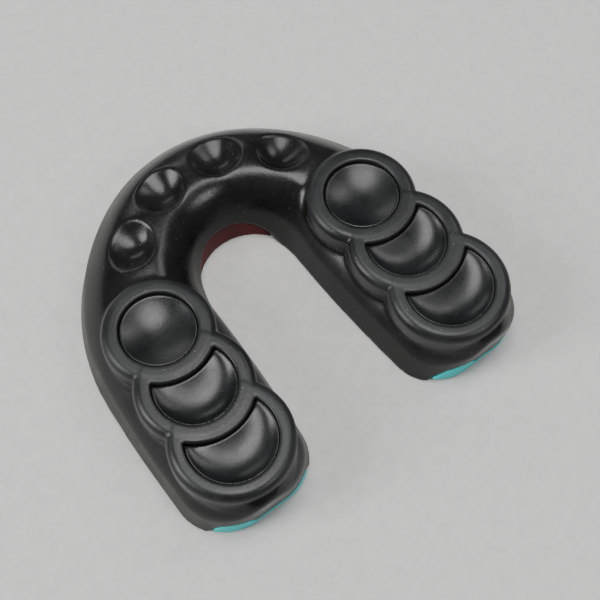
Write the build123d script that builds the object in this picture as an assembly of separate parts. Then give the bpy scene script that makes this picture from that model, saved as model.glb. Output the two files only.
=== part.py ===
from build123d import *
import math
import os

# Boil-and-bite mouthguard for contact sport, lying with its biting side up and its tooth channel down.
# Millimetres. +X runs across the mouth, +Y to the front teeth, +Z up from the face it rests on.
# The origin is in the middle of that face. The guard is the same on both sides of x = 0.

# Heights
FLAT_TOP = 14.0        # flats of the ring pads
SHELL_TOP = 12.3       # ridge of the arch, a little under the pads
PAD_FOOT = 10.0        # underside of the pads, set into the shell
INSERT_FOOT = 11.2     # underside of the dished inserts
SHELL_WALL = 1.8       # black outer shell
SHOCK_WALL = 1.0       # teal layer under it
LINER_WALL = 1.7       # red fit liner next to the teeth
SHELL_CEILING = 8.8    # roof of the shell's hollow
SHOCK_CEILING = 7.8
LINER_CEILING = 6.2    # roof of the tooth channel

# Outline of the arch, right half, from the leg to the middle of the front
BASE_OUTER = [(34.3, -17.65), (33.7, -4.65), (31.6, 8.85), (26.6, 18.25), (15.2, 28.7), (0.0, 32.65)]
TOP_OUTER = [(32.2, -17.65), (31.4, -4.65), (28.7, 8.25), (23.1, 18.35), (13.1, 27.2), (0.0, 30.4)]
LEG_END = -32.15       # rear of the legs at the base
END_LEAN = 0.65        # the rear of a leg leans out this far by the top
END_ROUND = 8.2
INNER_R = 8.7          # tongue-side bend of the arch, at the base
INNER_Y = 3.05
INNER_SPREAD = 2.0     # how far the tongue side of a leg moves out by the leg's end
INNER_DRAFT = 3.2      # the tongue side leans back this far by the top
TOP_ROUND = 3.0

# Ring pads: centre x, centre y, outer radius, pocket radius, from front to rear
RINGS = [(21.05, 0.35, 9.5, 6.5), (21.7, -10.85, 10.0, 7.0), (22.2, -21.65, 10.4, 7.6)]
RING_NAMES = ["front_disc", "middle_crescent", "rear_crescent"]
RING_ROUND = 1.7
DISH_EDGE = 0.8        # depth of a pocket at its rim
DISH_DEPTH = 1.9       # and in its middle

# Dimples in the front of the ridge: x, y, and the lean of the dent away from upright, in degrees
DIMPLES = [(5.85, 22.25, 24.0), (15.7, 16.45, 24.0)]
DIMPLE_R = 4.6
DIMPLE_DEPTH = 1.6

# Lip at the leg ends, where the layers under the shell come out
LIP_LOW = 0.7
LIP_HIGH = 2.1
LIP_START = -28.15
PATCH_X = [16.8, 28.9]
PATCH_HALF_WIDTH = 3.9
PATCH_HIGH = 3.9
LINER_INSET = 0.8

# Arched opening in the tongue side of the shell, behind the front teeth
ARCH_HALF_WIDTH = 8.0
ARCH_HIGH = 4.8
ARCH_BACK = 1.85
ARCH_FRONT = 16.85

CURVE_STEPS = 12       # points that carry an inset outline
WIDE = 60.0            # more than the guard's width, for the cutting blocks


def blend(low, high, share):
    """The outline part of the way from the base outline to the top one."""
    return [(a + (c - a) * share, b + (d - b) * share) for (a, b), (c, d) in zip(low, high)]


def mirrored(points):
    """Both halves of an outline, from the right leg round the front to the left leg."""
    left = [(-x, y) for x, y in reversed(points[:-1])]
    return points + left


def outer_curve(z, inset):
    """Lip and cheek side of the guard at height z, moved in by inset."""
    points = mirrored(blend(BASE_OUTER, TOP_OUTER, z / SHELL_TOP))
    curve = Spline(*points, tangents=[(0, 1), (0, -1)])
    moved = []
    for step in range(CURVE_STEPS + 1):
        share = step / CURVE_STEPS
        point = curve.position_at(share)
        along = curve.tangent_at(share)
        moved.append((point.X - along.Y * inset, point.Y + along.X * inset))
    return Spline(*moved, tangents=[(0, 1), (0, -1)])


def plan(z, inset=0.0):
    """U-shaped section of the guard at height z, drawn in by inset on every side."""
    share = z / SHELL_TOP
    front = outer_curve(z, inset)
    side = front.position_at(0).X
    inner_r = INNER_R + INNER_DRAFT * share + inset
    inner_end = inner_r + INNER_SPREAD
    end = LEG_END - END_LEAN * share + inset
    bend = ThreePointArc((inner_r, INNER_Y), (0, INNER_Y + inner_r), (-inner_r, INNER_Y))
    edges = [
        front,
        bend,
        Line((side, end), (side, BASE_OUTER[0][1])),
        Line((-side, end), (-side, BASE_OUTER[0][1])),
        Line((inner_end, end), (side, end)),
        Line((-inner_end, end), (-side, end)),
        Line((inner_end, end), (inner_r, INNER_Y)),
        Line((-inner_end, end), (-inner_r, INNER_Y)),
    ]
    face = make_face(edges)
    corners = face.vertices().filter_by_position(Axis.Y, end - 0.1, end + 0.1)
    return Pos(0, 0, z) * fillet(corners, END_ROUND - inset)


def body():
    """The whole outside of the guard without its pads, leaning in from base to ridge."""
    solid = loft([plan(0), plan(SHELL_TOP)])
    rim = solid.edges().filter_by_position(Axis.Z, SHELL_TOP - 0.01, SHELL_TOP + 0.01)
    return fillet(rim, TOP_ROUND)


def core(inset, low, ceiling):
    """The guard's outside drawn in by inset, from height low up to its ceiling."""
    return loft([plan(low, inset), plan(ceiling, inset)])


def round_bar(radius, z, height):
    """Upright round bar on the origin's axis, standing on height z."""
    return Pos(0, 0, z) * Cylinder(radius, height, align=(Align.CENTER, Align.CENTER, Align.MIN))


def ring_coin(ring):
    """One ring of a pad as a whole coin with a rounded top edge."""
    x, y, radius, _ = ring
    coin = round_bar(radius, PAD_FOOT, FLAT_TOP - PAD_FOOT)
    rim = coin.edges().filter_by_position(Axis.Z, FLAT_TOP - 0.01, FLAT_TOP + 0.01)
    return Pos(x, y, 0) * fillet(rim, RING_ROUND)


def pocket(index):
    """Prism of a ring's pocket: a full disc in front, crescents behind the ring before."""
    x, y, _, radius = RINGS[index]
    prism = Pos(x, y, 0) * round_bar(radius, INSERT_FOOT, FLAT_TOP)
    if index:
        before_x, before_y, before_radius, _ = RINGS[index - 1]
        prism -= Pos(before_x, before_y, 0) * round_bar(before_radius, PAD_FOOT, 2 * FLAT_TOP)
    return prism


def insert(index):
    """Dished insert that fills a pocket up to just under the ring's flat."""
    x, y, _, radius = RINGS[index]
    rim_z = FLAT_TOP - DISH_EDGE
    sag = DISH_DEPTH - DISH_EDGE
    ball = (radius**2 + sag**2) / (2 * sag)
    solid = pocket(index) & Pos(x, y, 0) * round_bar(radius + 1, INSERT_FOOT, rim_z - INSERT_FOOT)
    return solid - Pos(x, y, rim_z - sag + ball) * Sphere(ball)


def dimple(x, y, lean):
    """Ball that presses one dimple into the outer side of the ridge."""
    out = Vector(x, y - INNER_Y, 0).normalized()
    up = Vector(0, 0, 1)
    tilt = lean * math.pi / 180
    normal = out * math.sin(tilt) + up * math.cos(tilt)
    centre = Vector(x, y, SHELL_TOP) + normal * (DIMPLE_R - DIMPLE_DEPTH)
    return Pos(centre.X, centre.Y, centre.Z) * Sphere(DIMPLE_R)


def block(low, high):
    """Box between two corners."""
    size = [h - l for l, h in zip(low, high)]
    middle = [(h + l) / 2 for l, h in zip(low, high)]
    return Pos(*middle) * Box(*size)


def end_layers():
    """Low band and two raised patches at the leg ends, where the teal layer shows."""
    zone = block((-WIDE, -WIDE, LIP_LOW), (WIDE, LIP_START, LIP_HIGH))
    above = block((-WIDE, -WIDE, LIP_LOW), (WIDE, LIP_START, FLAT_TOP))
    for x in PATCH_X:
        with BuildSketch(Plane.XZ.offset(-LIP_START)) as sketch:
            with Locations((-x, LIP_LOW), (x, LIP_LOW)):
                Ellipse(PATCH_HALF_WIDTH, PATCH_HIGH - LIP_LOW)
        zone += extrude(sketch.sketch, WIDE) & above
    return zone


def front_arch():
    """Half-oval tunnel through the tongue-side wall behind the front teeth."""
    with BuildSketch(Plane.XZ.offset(-ARCH_BACK)) as sketch:
        Ellipse(ARCH_HALF_WIDTH, ARCH_HIGH)
    return extrude(sketch.sketch, ARCH_BACK - ARCH_FRONT)


def save(name, solid):
    """Write one named piece."""
    export_step(solid, f"parts/{name}.step")


outside = body()
shell_hollow = core(SHELL_WALL, 0, SHELL_CEILING)
shock_hollow = core(SHELL_WALL + SHOCK_WALL, 0, SHOCK_CEILING)
tooth_channel = core(SHELL_WALL + SHOCK_WALL + LINER_WALL, 0, LINER_CEILING)
end_band = end_layers()
end_floor = block((-WIDE, -WIDE, -1), (WIDE, LIP_START, LIP_LOW))
arch = front_arch()

coins = [ring_coin(ring) for ring in RINGS]
blank = coins[0] + coins[1] + coins[2]
pockets = [pocket(index) for index in range(len(RINGS))]
pad = blank - pockets[0] - pockets[1] - pockets[2]

shell = outside - shell_hollow - end_band - end_floor - arch - blank - mirror(blank, Plane.YZ)
for x, y, lean in DIMPLES:
    shell = shell - dimple(x, y, lean) - dimple(-x, y, lean)

shock_layer = (shell_hollow - shock_hollow) + ((outside & end_band) - shell_hollow)
shock_layer = shock_layer - end_floor - arch

set_in = core(LINER_INSET, 0, ARCH_HIGH + 1)
fit_liner = shock_hollow + (set_in & arch) + (set_in & end_floor) - tooth_channel

os.makedirs("parts", exist_ok=True)
save("outer_shell", shell)
save("shock_layer", shock_layer)
save("fit_liner", fit_liner)
save("right_bite_pad", pad)
save("left_bite_pad", mirror(pad, Plane.YZ))
for index, name in enumerate(RING_NAMES):
    piece = insert(index)
    save(f"right_{name}", piece)
    save(f"left_{name}", mirror(piece, Plane.YZ))
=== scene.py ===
import math

import bpy
import numpy as np
from mathutils import Matrix, Vector


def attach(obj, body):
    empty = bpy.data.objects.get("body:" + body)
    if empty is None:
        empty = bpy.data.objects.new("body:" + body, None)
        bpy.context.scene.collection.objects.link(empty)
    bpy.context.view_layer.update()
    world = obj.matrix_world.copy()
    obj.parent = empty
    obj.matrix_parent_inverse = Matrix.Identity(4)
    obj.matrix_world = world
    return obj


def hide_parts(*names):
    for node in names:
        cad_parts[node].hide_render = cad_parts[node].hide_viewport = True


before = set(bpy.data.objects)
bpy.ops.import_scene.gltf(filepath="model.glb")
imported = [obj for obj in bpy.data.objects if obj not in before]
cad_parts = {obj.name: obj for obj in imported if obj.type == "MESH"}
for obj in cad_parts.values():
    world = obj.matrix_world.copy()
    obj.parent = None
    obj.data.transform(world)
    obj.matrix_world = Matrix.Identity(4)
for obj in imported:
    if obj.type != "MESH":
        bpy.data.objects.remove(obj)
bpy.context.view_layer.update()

# All shapes are worked out in millimetres in the frame's axes and go to metres at the end.
MM = 0.001

# ---------------------------------------------------------------- sizes

FLAT_TOP = 14.0            # flats of the ring pads
DRAFT_TOP = 12.3           # height that the top outline belongs to
LEG_TOP = 11.3             # shell beside the pads, on the middle line of a leg
LEG_FALL = 13.0            # how fast it falls away on both sides of that line
CREST = 12.7               # ridge of the arch
CREST_SHARE = (0.38, 0.45)  # the ridge's place between the tongue side, 0, and the cheek side, 1
CREST_FALL = (9.0, 15.0)   # how fast it falls away on each side
LEG_EDGE = (1.0, 2.8)      # rounding of the legs' top edges, in the middle and at the walls
LEG_EDGE_SPAN = (0.05, 0.3)  # shares off the middle between which it changes
ARCH_EDGE = (4.6, 4.2)     # rounding of the arch's top edges, tongue side and cheek side
ARCH_EDGE_SPAN = (0.3, 0.7)  # shares between which it changes
ARCH_START = (-3.0, 13.0)  # Y between which the legs' top turns into the ridge
LEG_END = -32.1            # rear of the legs at the base
END_LEAN = 0.9             # and how far it leans out under the pads
LEAN_HEIGHTS = (1.0, 9.0)  # heights between which it does so
CHEEK_CORNER = 9.0         # plan radius of a leg's outer rear corner
TONGUE_CORNER = 7.2        # and of its inner rear corner
STRAIGHT_Y = -17.65        # behind this the outside of a leg is straight

# Outside of the arch as three tangent arcs, at the base and at the top:
# half width, front, radius of the front arc, and the angles where the arcs meet
BASE_ARCS = (34.35, 32.75, 27.6, 70.6, 4.35)
TOP_ARCS = (32.2, 31.0, 27.1, 47.9, 9.8)

BEND_Y = 3.05              # centre of the tongue-side bend
BEND_R = 8.7               # its radius at the base
BEND_DRAFT = 3.2           # and how much wider it is at the top
LEG_SPREAD = 2.4           # how far the legs' tongue sides move apart towards the rear

# Ring pads: centre x, centre y, outer radius, pocket radius, from front to rear
RINGS = [(21.05, 0.35, 9.5, 6.5), (21.7, -10.85, 10.0, 7.0), (22.2, -21.65, 10.4, 7.6)]
RING_NAMES = ["front_disc", "middle_crescent", "rear_crescent"]
RING_ROUND = 1.55          # rounding of the rings' outer edges
RING_BLEND = 0.25          # and of the valleys between overlapping rings
PAD_FOOT = 9.6             # underside of the pads
PAD_SEAT = 1.4             # how far inside a pad's edge the recess for it ends
COLLAR_INSET = 0.15        # the shell's collar under a pad: how far inside the pad's edge
COLLAR_SLOPE = 0.5         # how fast it narrows downwards
COLLAR_FOOT = 5.0          # where it ends
COLLAR_TOP = 12.2
COLLAR_ROUND = 1.0
COLLAR_BLEND = 1.6         # fillet between the collar and the shell
POCKET_FLOOR = 11.2
POCKET_TIP = 0.3           # rounding of the crescents' tips
POCKET_ROUND = 0.45        # rounding of the pockets' upper edges
NEAR_EDGE = 0.15           # how far the inserts' rims are below the flats, at the rear
DISC_EDGE = 0.5            # at the front of a disc
CRESCENT_EDGE = 0.9        # at the front of a crescent
DISH_SAG = 1.5             # depth of a dished face below its rim
CRESCENT_SCALE = 2.2       # brings the deepest part of a crescent's dish to about DISH_SAG
CRESCENT_POWER = 0.8       # below 1 the dish is fuller
PARTING = 0.06             # gap between an insert and its pocket's wall
INSERT_EDGE = 0.45         # blend width at the inserts' rims
INSERT_SCALE = 0.95        # keeps that field's slope near that of the plan field

# Dimples on the outer slope of the ridge: x, y
DIMPLES = [(5.85, 22.25), (15.7, 16.45)]
DIMPLE_ALONG = 4.7         # half length along the ridge
DIMPLE_ACROSS = 4.0        # half width
DIMPLE_DEEP = 2.4
DIMPLE_RIM = 0.15          # how softly the rims are rolled over
DIMPLE_LEAN = 22.0         # degrees that their axes lean outwards
DIMPLE_PIVOT = 0.8         # how far below the crest they lean from
DIMPLE_FADE = (6.0, 9.0)   # height over which they fade in

SHELL_WALL = 1.8
SHOCK_WALL = 1.0
LINER_WALL = 1.7
SHELL_CEILING = 8.8
SHOCK_CEILING = 7.8
LINER_CEILING = 6.2
HOLLOW_ROUND = 1.0         # rounding between the walls and the ceiling of each hollow
JOINT_GAP = 0.03           # gap between bonded pieces
FOOT_ROUND = 0.45          # rounding of the lower rims

# Teal band at the leg ends
LIP_LOW = 0.7              # its lower edge
LIP_HIGH = 2.1             # its upper edge
LIP_Y = -27.35             # behind this it rests on the liner's own band
LIP_CHEEK_Y = -28.4        # where the band starts at the outer corner of a leg
LIP_TONGUE_Y = -29.4       # and at the inner corner
LIP_SPAN = (16.0, 30.0)    # X between which that start moves from one to the other
LIP_SLOPE = (0.9, 0.3)     # slant of the start: weight of the distance in Y and of the height
# Its raised patches: x of the peak, reach to the left, reach to the right, height
PATCHES = [
    (-27.0, 5.0, 1.8, 5.0),
    (-16.2, 3.4, 3.4, 2.6),
    (19.0, 5.4, 1.9, 5.4),
    (29.4, 3.4, 3.4, 2.6),
]
PATCH_SCALE = 2.4          # brings a patch's field close to a distance
LIP_BLEND = 0.2            # edge blend of the band and its patches
LINER_INSET = 0.8          # how far inside the outline the liner's own band stays

# Half-oval opening behind the front teeth
ARCH_HALF = 8.0
ARCH_HIGH = 4.8
ARCH_FRONT_Y = 16.85
ARCH_BLEND = 0.5           # blend of its edge


# ---------------------------------------------------------------- shaping tools

def mix(a, b, share):
    return a + (b - a) * share


def step_up(low, high, value):
    """0 below low, 1 above high, smooth between."""
    t = np.clip((value - low) / (high - low), 0, 1)
    return t * t * (3 - 2 * t)


def round_both(a, b, radius):
    """Both fields at once, with the edge between them rounded off to a radius."""
    corner = radius - np.hypot(radius - a, radius - b)
    return np.where((a < radius) & (b < radius), corner, np.minimum(a, b))


def soft_least(a, b, width):
    """The smaller field, blended where the two are closer than width."""
    blend = np.maximum(width - np.abs(a - b), 0) / width
    return np.minimum(a, b) - blend * blend * width / 4


def soft_most(a, b, width):
    return -soft_least(-a, -b, width)


# A field is positive inside a piece and zero on its surface.

def cheek_depth(x, y, z):
    """How far a point is inside the lip and cheek side of the guard."""
    share = np.clip(z / DRAFT_TOP, 0, 1)
    half, front, front_r, first, second = (mix(a, b, share) for a, b in zip(BASE_ARCS, TOP_ARCS))
    first = np.radians(first)
    second = np.radians(second)
    c1, s1 = np.cos(first), np.sin(first)
    c2, s2 = np.cos(second), np.sin(second)
    right_x = half - front_r * c1
    right_y = STRAIGHT_Y - front + front_r - front_r * s1
    scale = -(c2 - c1) * s2 - (1 - c2) * (s2 - s1)
    corner_r = (-right_x * s2 - (1 - c2) * right_y) / scale
    side_r = ((c2 - c1) * right_y - (s2 - s1) * right_x) / scale
    front_y = front - front_r
    corner_x = (front_r - corner_r) * c1
    corner_y = front_y + (front_r - corner_r) * s1
    across = np.abs(x)
    on_front = np.arctan2(y - front_y, across) >= first
    on_side = np.arctan2(y - STRAIGHT_Y, across - half + side_r) <= second
    depth = corner_r - np.hypot(across - corner_x, y - corner_y)
    depth = np.where(on_side, side_r - np.hypot(across - half + side_r, y - STRAIGHT_Y), depth)
    depth = np.where(on_front, front_r - np.hypot(across, y - front_y), depth)
    return np.where(y < STRAIGHT_Y, half - across, depth)


def tongue_depth(x, y, z):
    """How far a point is inside the tongue side of the guard."""
    radius = BEND_R + BEND_DRAFT * np.clip(z / DRAFT_TOP, 0, 1)
    back = np.maximum(BEND_Y - y, 0) / (BEND_Y - LEG_END)
    leg = np.abs(x) - radius - LEG_SPREAD * back * back
    bend = np.hypot(x, y - BEND_Y) - radius
    return np.where(y > BEND_Y, bend, leg)


def wall_depth(x, y, z):
    """How far a point is inside the outline at its height."""
    end = y - LEG_END + END_LEAN * step_up(*LEAN_HEIGHTS, z)
    outer = round_both(cheek_depth(x, y, z), end, CHEEK_CORNER)
    inner = round_both(tongue_depth(x, y, z), end, TONGUE_CORNER)
    return np.minimum(outer, inner)


def body(x, y, z):
    """The whole guard without its pads: flared walls and a rounded ridge."""
    cheek = cheek_depth(x, y, z)
    tongue = tongue_depth(x, y, z)
    share = tongue / np.maximum(tongue + cheek, 1)
    front = step_up(*ARCH_START, y)
    crest = CREST - CREST_FALL[1] * np.maximum(share - CREST_SHARE[1], 0) ** 2
    crest = crest - CREST_FALL[0] * np.maximum(CREST_SHARE[0] - share, 0) ** 2
    off_middle = np.abs(share - 0.5)
    beside_pads = LEG_TOP - LEG_FALL * off_middle**2
    top = mix(beside_pads, crest, front)
    leg_radius = mix(*LEG_EDGE, step_up(*LEG_EDGE_SPAN, off_middle))
    arch_radius = mix(*ARCH_EDGE, step_up(*ARCH_EDGE_SPAN, share))
    radius = mix(leg_radius, arch_radius, front)
    return round_both(wall_depth(x, y, z), top - z, radius)


def coins(x, y, z, shrink=0.0, top=FLAT_TOP, rounding=RING_ROUND):
    """The three overlapping discs of each pad, as one solid."""
    field = None
    for centre_x, centre_y, radius, _ in RINGS:
        coin = radius - shrink - np.hypot(np.abs(x) - centre_x, y - centre_y)
        coin = round_both(coin, top - z, rounding)
        field = coin if field is None else soft_most(field, coin, RING_BLEND)
    return field


def pocket(x, y, index):
    """Plan of a ring's pocket: a disc in front, crescents behind the ring before."""
    centre_x, centre_y, _, radius = RINGS[index]
    field = radius - np.hypot(np.abs(x) - centre_x, y - centre_y)
    if index:
        before_x, before_y, before_r, _ = RINGS[index - 1]
        before = np.hypot(np.abs(x) - before_x, y - before_y) - before_r
        field = soft_least(field, before, POCKET_TIP)
    return field


def crescent_width(index):
    """Width of a crescent at its middle."""
    centre_x, centre_y, _, radius = RINGS[index]
    before_x, before_y, before_r, _ = RINGS[index - 1]
    apart = math.hypot(centre_x - before_x, centre_y - before_y)
    return apart + radius - before_r


def dish_depth(x, y, index):
    """How far an insert's dished face is below the flats."""
    centre_x, centre_y, _, radius = RINGS[index]
    own = np.maximum(1 - ((np.abs(x) - centre_x) ** 2 + (y - centre_y) ** 2) / radius**2, 0)
    if not index:
        ahead = np.clip((y - centre_y) / radius, -1, 1)
        return mix(NEAR_EDGE, DISC_EDGE, (1 + ahead) / 2) + DISH_SAG * own
    before_x, before_y, before_r, _ = RINGS[index - 1]
    gap = np.hypot(np.abs(x) - before_x, y - before_y) - before_r
    other = np.clip(gap / crescent_width(index), 0, 2)
    front_share = own / (own + other + 0.02)  # the last term keeps the tips from 0 / 0
    sag = (CRESCENT_SCALE * own * other) ** CRESCENT_POWER
    return mix(NEAR_EDGE, CRESCENT_EDGE, front_share) + DISH_SAG * sag


def hollow(x, y, z, wall, ceiling):
    """The guard's inside, a wall's thickness away from the outside and under a flat ceiling."""
    return round_both(body(x, y, z) - wall, ceiling - z, HOLLOW_ROUND)


def end_band(x, y, z):
    """Where the teal layer comes out at the leg ends: a low band and two raised patches."""
    band = LIP_HIGH - z
    for peak_x, left, right, high in PATCHES:
        reach = np.where(x < peak_x, left, right)
        oval = np.hypot((x - peak_x) / reach, np.maximum(z, 0) / high)
        band = soft_most(band, (1 - oval) * PATCH_SCALE, LIP_BLEND)
    start = mix(LIP_TONGUE_Y, LIP_CHEEK_Y, step_up(*LIP_SPAN, np.abs(x)))
    return np.minimum(band, (start - y) * LIP_SLOPE[0] - z * LIP_SLOPE[1])


def arch_opening(x, y, z):
    """Half-oval opening in the tongue-side wall behind the front teeth."""
    oval = (1 - np.hypot(x / ARCH_HALF, z / ARCH_HIGH)) * ARCH_HIGH
    return np.minimum(oval, ARCH_FRONT_Y - y)


def dimple_depth(x, y, z):
    """How deep the dents press into the ridge, measured along their leaning axes."""
    deep = 0
    lean = math.radians(DIMPLE_LEAN)
    for centre_x, centre_y in DIMPLES:
        out = Vector((centre_x, centre_y - BEND_Y)).normalized()
        side = np.abs(x) - centre_x
        ahead = y - centre_y
        along = side * out.y - ahead * out.x
        across = side * out.x + ahead * out.y
        across = across * math.cos(lean) - (z - CREST + DIMPLE_PIVOT) * math.sin(lean)
        near = 1 - (along / DIMPLE_ALONG) ** 2 - (across / DIMPLE_ACROSS) ** 2
        deep = deep + DIMPLE_DEEP * (near + np.sqrt(near**2 + DIMPLE_RIM**2)) / 2
    return deep


# ---------------------------------------------------------------- pieces as fields

def outer_shell(x, y, z):
    """Black shell with the ridge, the dimples and a collar and a recess under each pad."""
    field = body(x, y, z)
    field = field - dimple_depth(x, y, z) * step_up(*DIMPLE_FADE, z)
    taper = COLLAR_INSET + COLLAR_SLOPE * np.maximum(PAD_FOOT - z, 0)
    collar = coins(x, y, z, shrink=taper, top=COLLAR_TOP, rounding=COLLAR_ROUND)
    field = soft_most(field, np.minimum(collar, z - COLLAR_FOOT), COLLAR_BLEND)
    recess = np.minimum(coins(x, y, z, shrink=PAD_SEAT), z - PAD_FOOT + JOINT_GAP)
    field = np.minimum(field, -recess)
    field = np.minimum(field, -hollow(x, y, z, SHELL_WALL, SHELL_CEILING))
    field = soft_least(field, -end_band(x, y, z), LIP_BLEND)
    field = soft_least(field, -arch_opening(x, y, z), ARCH_BLEND)
    return round_both(field, z, FOOT_ROUND)


def bite_pad(x, y, z):
    """Three overlapping rings in one moulding, each with its pocket."""
    field = np.minimum(coins(x, y, z), z - PAD_FOOT)
    for index in range(len(RINGS)):
        cut = np.minimum(pocket(x, y, index), z - POCKET_FLOOR)
        field = soft_least(field, -cut, POCKET_ROUND)
    return field


def insert_field(index):
    """The field of the dished insert in one ring's pocket."""
    def field(x, y, z):
        plan = pocket(x, y, index) - PARTING
        top = (FLAT_TOP - dish_depth(x, y, index) - z) * INSERT_SCALE
        return np.minimum(soft_least(plan, top, INSERT_EDGE), z - POCKET_FLOOR - JOINT_GAP)
    return field


def shock_layer(x, y, z):
    """Teal layer inside the shell, which comes out at the leg ends as the band."""
    inner = hollow(x, y, z, SHELL_WALL + SHOCK_WALL, SHOCK_CEILING)
    lining = hollow(x, y, z, SHELL_WALL + JOINT_GAP, SHELL_CEILING - JOINT_GAP)
    lip = np.minimum(wall_depth(x, y, z), end_band(x, y, z) - JOINT_GAP)
    field = np.minimum(np.maximum(lining, lip), -inner)
    field = np.minimum(field, -arch_opening(x, y, z))
    low = np.where(y < LIP_Y, LIP_LOW, 0.0)
    return round_both(field, z - low, FOOT_ROUND)


def fit_liner(x, y, z):
    """Red liner inside the teal layer, with the channel for the teeth."""
    channel = hollow(x, y, z, SHELL_WALL + SHOCK_WALL + LINER_WALL, LINER_CEILING)
    lining = hollow(x, y, z, SHELL_WALL + SHOCK_WALL + JOINT_GAP, SHOCK_CEILING - JOINT_GAP)
    set_in = wall_depth(x, y, z) - LINER_INSET
    low = np.minimum(np.minimum(set_in, LIP_LOW - JOINT_GAP - z), LIP_Y - y)
    front = np.minimum(set_in, arch_opening(x, y, z) - JOINT_GAP)
    field = np.maximum(np.maximum(lining, low), front)
    return round_both(np.minimum(field, -channel), z, FOOT_ROUND)


# ---------------------------------------------------------------- fields to meshes

LEAST_STEEPNESS = 0.05     # squared slope below which a point hardly moves
SETTLE_ROUNDS = 2
EVEN_ROUNDS = 2


def corner_values(value, cells, corner):
    """A grid's values at the same corner of many cells."""
    spot = cells + np.array(corner)
    return value[spot[:, 0], spot[:, 1], spot[:, 2]]


def net(field, low, high, pitch):
    """Quads through a field's surface: one point in each grid cell that the surface crosses."""
    axes = [np.arange(a, b + pitch, pitch) for a, b in zip(low, high)]
    value = field(*np.meshgrid(*axes, indexing="ij"))
    inside = value > 0
    count = np.zeros([n - 1 for n in value.shape], dtype=int)
    corners = [(i, j, k) for i in (0, 1) for j in (0, 1) for k in (0, 1)]
    for i, j, k in corners:
        count += inside[i:i + count.shape[0], j:j + count.shape[1], k:k + count.shape[2]]
    crossed = (count > 0) & (count < 8)
    number = np.full(count.shape, -1)
    number[crossed] = np.arange(crossed.sum())
    cells = np.argwhere(crossed)
    total = np.zeros((len(cells), 3))
    hits = np.zeros(len(cells))
    for corner in corners:
        for axis in range(3):
            if corner[axis]:
                continue
            other = list(corner)
            other[axis] = 1
            a = corner_values(value, cells, corner)
            b = corner_values(value, cells, other)
            change = (a > 0) != (b > 0)
            point = (cells + np.array(corner)).astype(float)
            point[:, axis] += np.where(change, a / np.where(change, a - b, 1), 0)
            total += point * change[:, None]
            hits += change
    points = np.array(low) + pitch * total / hits[:, None]
    quads = []
    for axis in range(3):
        u, v = (axis + 1) % 3, (axis + 2) % 3
        order = [axis, u, v]
        turned = np.transpose(inside, order)
        numbers = np.transpose(number, order)
        here = turned[:-1, 1:-1, 1:-1]
        there = turned[1:, 1:-1, 1:-1]
        four = [numbers[:, 1:, 1:], numbers[:, :-1, 1:], numbers[:, :-1, :-1], numbers[:, 1:, :-1]]
        leaving = here & ~there
        entering = ~here & there
        quads.append(np.stack([n[leaving] for n in four], 1))
        quads.append(np.stack([n[entering] for n in four[::-1]], 1))
    return points, np.concatenate(quads)


def slope(field, points, reach=0.02):
    """A field's gradient at some points."""
    parts = []
    for axis in range(3):
        ahead = points.copy()
        behind = points.copy()
        ahead[:, axis] += reach
        behind[:, axis] -= reach
        parts.append((field(*ahead.T) - field(*behind.T)) / (2 * reach))
    return np.stack(parts, 1)


def settle(field, points, pitch):
    """Moves points onto the field's surface."""
    for _ in range(SETTLE_ROUNDS):
        value = field(*points.T)
        gradient = slope(field, points)
        steepness = np.maximum((gradient**2).sum(1), LEAST_STEEPNESS)
        move = -gradient * (value / steepness)[:, None]
        length = np.maximum(np.linalg.norm(move, axis=1), 1e-9)
        move *= np.minimum(1, 0.5 * pitch / length)[:, None]
        points = points + move
    return points


def even_out(points, quads, share):
    """Moves each point part of the way to the middle of its neighbours."""
    total = np.zeros_like(points)
    count = np.zeros(len(points))
    for a, b in ((0, 1), (1, 2), (2, 3), (3, 0)):
        for one, two in ((a, b), (b, a)):
            np.add.at(total, quads[:, one], points[quads[:, two]])
            np.add.at(count, quads[:, one], 1)
    return mix(points, total / np.maximum(count, 1)[:, None], share)


def make_piece(name, field, low, high, pitch, node, material):
    """Builds one piece of the guard from its field."""
    points, quads = net(field, low, high, pitch)
    points = settle(field, points, pitch)
    for _ in range(EVEN_ROUNDS):
        points = even_out(points, quads, 0.5)
        points = settle(field, points, pitch)
    mesh = bpy.data.meshes.new(name)
    mesh.from_pydata((points * MM).tolist(), [], quads.tolist())
    mesh.polygons.foreach_set("use_smooth", [True] * len(mesh.polygons))
    mesh.update()
    mesh.materials.append(material)
    piece = bpy.data.objects.new(name, mesh)
    bpy.context.scene.collection.objects.link(piece)
    # Keeps the edge of a shadow smooth where it runs over a rounded mesh
    piece.cycles.shadow_terminator_offset = 0.3
    piece.cycles.shadow_terminator_geometry_offset = 0.3
    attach(piece, "root")
    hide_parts(node)


# ---------------------------------------------------------------- materials

# In metres, as the shader nodes read them
SHINY_ABOVE = 0.0095       # the shell's walls turn duller between these heights
DULL_BELOW = 0.0065
GRAIN_HEIGHT = 0.00006

# Pattern scales, in cells per metre
CLOUD_SCALE = 180
FINE_SCALE = 1500
SPECK_SCALE = 3800
GRAIN_SCALE = 2600
FLOOR_SCALE = 400

DUST_GREY = (0.28, 0.28, 0.26)
FLOOR_DARK = (0.46, 0.455, 0.445)
FLOOR_LIGHT = (0.54, 0.535, 0.52)


def new_material(name):
    material = bpy.data.materials.new(name)
    material.use_nodes = True
    nodes = material.node_tree.nodes
    return material, nodes, material.node_tree.links, nodes["Principled BSDF"]


def noise(nodes, links, where, scale, detail, rough=0.55):
    """Cloudy pattern, between 0 and 1."""
    texture = nodes.new("ShaderNodeTexNoise")
    texture.inputs["Scale"].default_value = scale
    texture.inputs["Detail"].default_value = detail
    texture.inputs["Roughness"].default_value = rough
    links.new(where, texture.inputs["Vector"])
    return texture.outputs["Fac"]


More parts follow.
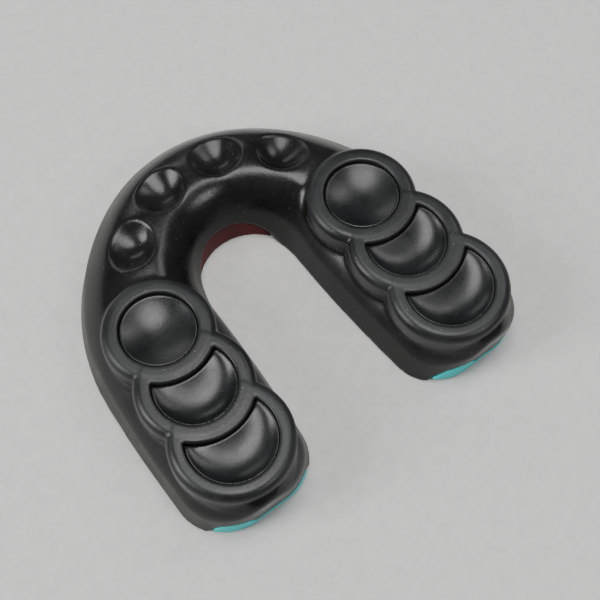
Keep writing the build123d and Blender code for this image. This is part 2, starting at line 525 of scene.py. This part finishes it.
def spread(nodes, links, value, from_low, from_high, to_low, to_high):
    """One range of a value stretched to another."""
    node = nodes.new("ShaderNodeMapRange")
    node.inputs["From Min"].default_value = from_low
    node.inputs["From Max"].default_value = from_high
    node.inputs["To Min"].default_value = to_low
    node.inputs["To Max"].default_value = to_high
    links.new(value, node.inputs["Value"])
    return node.outputs["Result"]


def combine(nodes, links, kind, a, b):
    """Sum or product of two values."""
    node = nodes.new("ShaderNodeMath")
    node.operation = kind
    for socket, value in zip(node.inputs, (a, b)):
        if isinstance(value, (int, float)):
            socket.default_value = value
        else:
            links.new(value, socket)
    return node.outputs["Value"]


def blend_colour(nodes, links, share, first, second):
    """From the first colour at share 0 to the second at share 1."""
    node = nodes.new("ShaderNodeMix")
    node.data_type = "RGBA"
    links.new(share, node.inputs["Factor"])
    for socket, value in zip(node.inputs[6:8], (first, second)):  # the colour sockets
        if isinstance(value, tuple):
            socket.default_value = (*value, 1)
        else:
            links.new(value, socket)
    return node.outputs[2]


def elastomer(name, dark, light, rough_low, rough_high, grain, gloss, low_wall=0.0, dust=0.0):
    """Moulded rubber: mottled colour, cloudy gloss, fine grain and a few specks of dust.

    low_wall makes the walls rougher than the top, and dust is the strength of the specks.
    """
    material, nodes, links, shader = new_material(name)
    place = nodes.new("ShaderNodeTexCoord").outputs["Object"]
    cloud = noise(nodes, links, place, CLOUD_SCALE, 4)
    fine = noise(nodes, links, place, FINE_SCALE, 3)
    share = spread(nodes, links, cloud, 0.35, 0.65, 0, 1)
    colour = blend_colour(nodes, links, share, dark, light)
    rough = spread(nodes, links, cloud, 0.35, 0.65, rough_low, rough_high)
    rough = combine(nodes, links, "ADD", rough, spread(nodes, links, fine, 0.3, 0.7, -0.03, 0.03))
    if low_wall:
        apart = nodes.new("ShaderNodeSeparateXYZ")
        links.new(place, apart.inputs["Vector"])
        low = spread(nodes, links, apart.outputs["Z"], SHINY_ABOVE, DULL_BELOW, 0, 1)
        dull = combine(nodes, links, "MULTIPLY", low, low_wall)
        rough = combine(nodes, links, "ADD", rough, dull)
    if dust:
        speck = noise(nodes, links, place, SPECK_SCALE, 0)
        speck = spread(nodes, links, speck, 0.84, 0.87, 0, 1)
        share = combine(nodes, links, "MULTIPLY", speck, dust)
        colour = blend_colour(nodes, links, share, colour, DUST_GREY)
    links.new(colour, shader.inputs["Base Color"])
    links.new(rough, shader.inputs["Roughness"])
    shader.inputs["Specular IOR Level"].default_value = gloss
    bump = nodes.new("ShaderNodeBump")
    bump.inputs["Strength"].default_value = grain
    bump.inputs["Distance"].default_value = GRAIN_HEIGHT
    links.new(noise(nodes, links, place, GRAIN_SCALE, 4), bump.inputs["Height"])
    links.new(bump.outputs["Normal"], shader.inputs["Normal"])
    return material


shell_black = elastomer(
    "shell_black", dark=(0.005, 0.0055, 0.005), light=(0.009, 0.0095, 0.009),
    rough_low=0.20, rough_high=0.29, grain=0.30, gloss=0.27, low_wall=0.18, dust=0.4)
pad_black = elastomer(
    "pad_black", dark=(0.010, 0.0105, 0.0105), light=(0.016, 0.017, 0.017),
    rough_low=0.32, rough_high=0.42, grain=0.35, gloss=0.28, dust=0.5)
insert_black = elastomer(
    "insert_black", dark=(0.005, 0.0055, 0.0055), light=(0.009, 0.0095, 0.0095),
    rough_low=0.26, rough_high=0.34, grain=0.2, gloss=0.34, dust=0.2)
teal_rubber = elastomer(
    "teal_rubber", dark=(0.001, 0.48, 0.49), light=(0.002, 0.58, 0.58),
    rough_low=0.42, rough_high=0.54, grain=0.3, gloss=0.2)
red_rubber = elastomer(
    "red_rubber", dark=(0.05, 0.006, 0.006), light=(0.09, 0.008, 0.009),
    rough_low=0.40, rough_high=0.50, grain=0.25, gloss=0.2)


# ---------------------------------------------------------------- camera and light

VIEW_AZIMUTH = math.radians(-38.5)
VIEW_HEIGHT = math.radians(65.6)
VIEW_ROLL = math.radians(1.7)
VIEW_DISTANCE = 0.2051
VIEW_TARGET = Vector((0.0005, -0.00935, 0.014))
MIDDLE = Vector((0, 0, 0.007))


def aim(thing, eye, target, roll=0.0):
    """Puts a camera or lamp at eye, looking at target, turned about its line of sight."""
    turn = (Vector(target) - Vector(eye)).to_track_quat("-Z", "Y").to_matrix().to_4x4()
    thing.matrix_world = Matrix.Translation(eye) @ turn @ Matrix.Rotation(roll, 4, "Z")


def softbox(name, eye, width, length, power, shape="RECTANGLE"):
    """Soft studio lamp that looks at the middle of the guard; power in watts."""
    lamp = bpy.data.lights.new(name, "AREA")
    lamp.shape = shape
    lamp.size = width
    lamp.size_y = length
    lamp.energy = power
    thing = bpy.data.objects.new(name, lamp)
    bpy.context.scene.collection.objects.link(thing)
    aim(thing, eye, MIDDLE)


back = Vector((math.sin(VIEW_AZIMUTH) * math.cos(VIEW_HEIGHT),
               -math.cos(VIEW_AZIMUTH) * math.cos(VIEW_HEIGHT),
               math.sin(VIEW_HEIGHT)))
camera_data = bpy.data.cameras.new("camera")
camera_data.lens = 75.06
camera_data.sensor_width = 36
camera_data.clip_start = 0.01
camera = bpy.data.objects.new("camera", camera_data)
bpy.context.scene.collection.objects.link(camera)
aim(camera, VIEW_TARGET + back * VIEW_DISTANCE, VIEW_TARGET, VIEW_ROLL)
bpy.context.scene.camera = camera

softbox("overhead", (0.012, 0.012, 0.60), 0.34, 0.34, 3.3, "DISK")
softbox("left_box", (-0.60, 0.20, 0.42), 0.28, 0.44, 5.6)
softbox("right_box", (0.50, 0.06, 0.62), 0.22, 0.30, 1.2)
softbox("near_box", (0.16, -0.40, 0.44), 0.16, 0.16, 1.0)
softbox("back_box", (0.10, 0.75, 0.45), 0.50, 0.20, 0.9)

world = bpy.data.worlds.new("room")
bpy.context.scene.world = world
world.use_nodes = True
world.node_tree.nodes["Background"].inputs["Color"].default_value = (0.9, 0.95, 1.0, 1)
world.node_tree.nodes["Background"].inputs["Strength"].default_value = 0.12


def make_floor():
    """Plain pale table top."""
    mesh = bpy.data.meshes.new("floor")
    reach = 1.5
    corners = [(-reach, -reach, 0), (reach, -reach, 0), (reach, reach, 0), (-reach, reach, 0)]
    mesh.from_pydata(corners, [], [(0, 1, 2, 3)])
    material, nodes, links, shader = new_material("floor_paper")
    place = nodes.new("ShaderNodeTexCoord").outputs["Object"]
    cloud = noise(nodes, links, place, FLOOR_SCALE, 5, 0.7)
    share = spread(nodes, links, cloud, 0.3, 0.7, 0, 1)
    colour = blend_colour(nodes, links, share, FLOOR_DARK, FLOOR_LIGHT)
    links.new(colour, shader.inputs["Base Color"])
    shader.inputs["Roughness"].default_value = 0.9
    mesh.materials.append(material)
    floor = bpy.data.objects.new("floor", mesh)
    bpy.context.scene.collection.objects.link(floor)


make_floor()

# ---------------------------------------------------------------- the guard

# Room around each piece for its grid, and the grids' cell sizes
ROOM_TOP = 14.6
LOW = (-35.6, -34.0, -0.8)
HIGH = (35.6, 34.0, ROOM_TOP)
BODY_PITCH = 0.40
PAD_PITCH = 0.26
INSERT_PITCH = 0.22
SHOCK_ROOM_TOP = 9.6
LINER_ROOM_TOP = 8.6
INSERT_ROOM = 0.6          # beyond the pocket's radius
INSERT_ROOM_LOW = 10.8
# A pad's room: X from the middle, X on the far side, Y at the rear, Y in front, lowest Z
PAD_ROOM = (10.4, 33.6, -33.0, 12.1, 6.6)


def room(sign, near_x, far_x, rear_y, front_y, low_z):
    """Corners of a leg's grid: sign is -1 for the left leg and 1 for the right one."""
    low_x, high_x = sorted((sign * near_x, sign * far_x))
    return (low_x, rear_y, low_z), (high_x, front_y, ROOM_TOP)


make_piece("guard_shell", outer_shell, LOW, HIGH, BODY_PITCH, "outer_shell", shell_black)
make_piece("guard_shock_layer", shock_layer, LOW, (*HIGH[:2], SHOCK_ROOM_TOP), BODY_PITCH,
           "shock_layer", teal_rubber)
make_piece("guard_fit_liner", fit_liner, LOW, (*HIGH[:2], LINER_ROOM_TOP), BODY_PITCH,
           "fit_liner", red_rubber)
for side, sign in (("left", -1), ("right", 1)):
    low, high = room(sign, *PAD_ROOM)
    make_piece(f"{side}_pad_rings", bite_pad, low, high, PAD_PITCH,
               f"{side}_bite_pad", pad_black)
    for index, (name, ring) in enumerate(zip(RING_NAMES, RINGS)):
        centre_x, centre_y, _, radius = ring
        reach = radius + INSERT_ROOM
        low, high = room(sign, centre_x - reach, centre_x + reach,
                         centre_y - reach, centre_y + reach, INSERT_ROOM_LOW)
        make_piece(f"{side}_{name}_dish", insert_field(index), low, high, INSERT_PITCH,
                   f"{side}_{name}", insert_black)
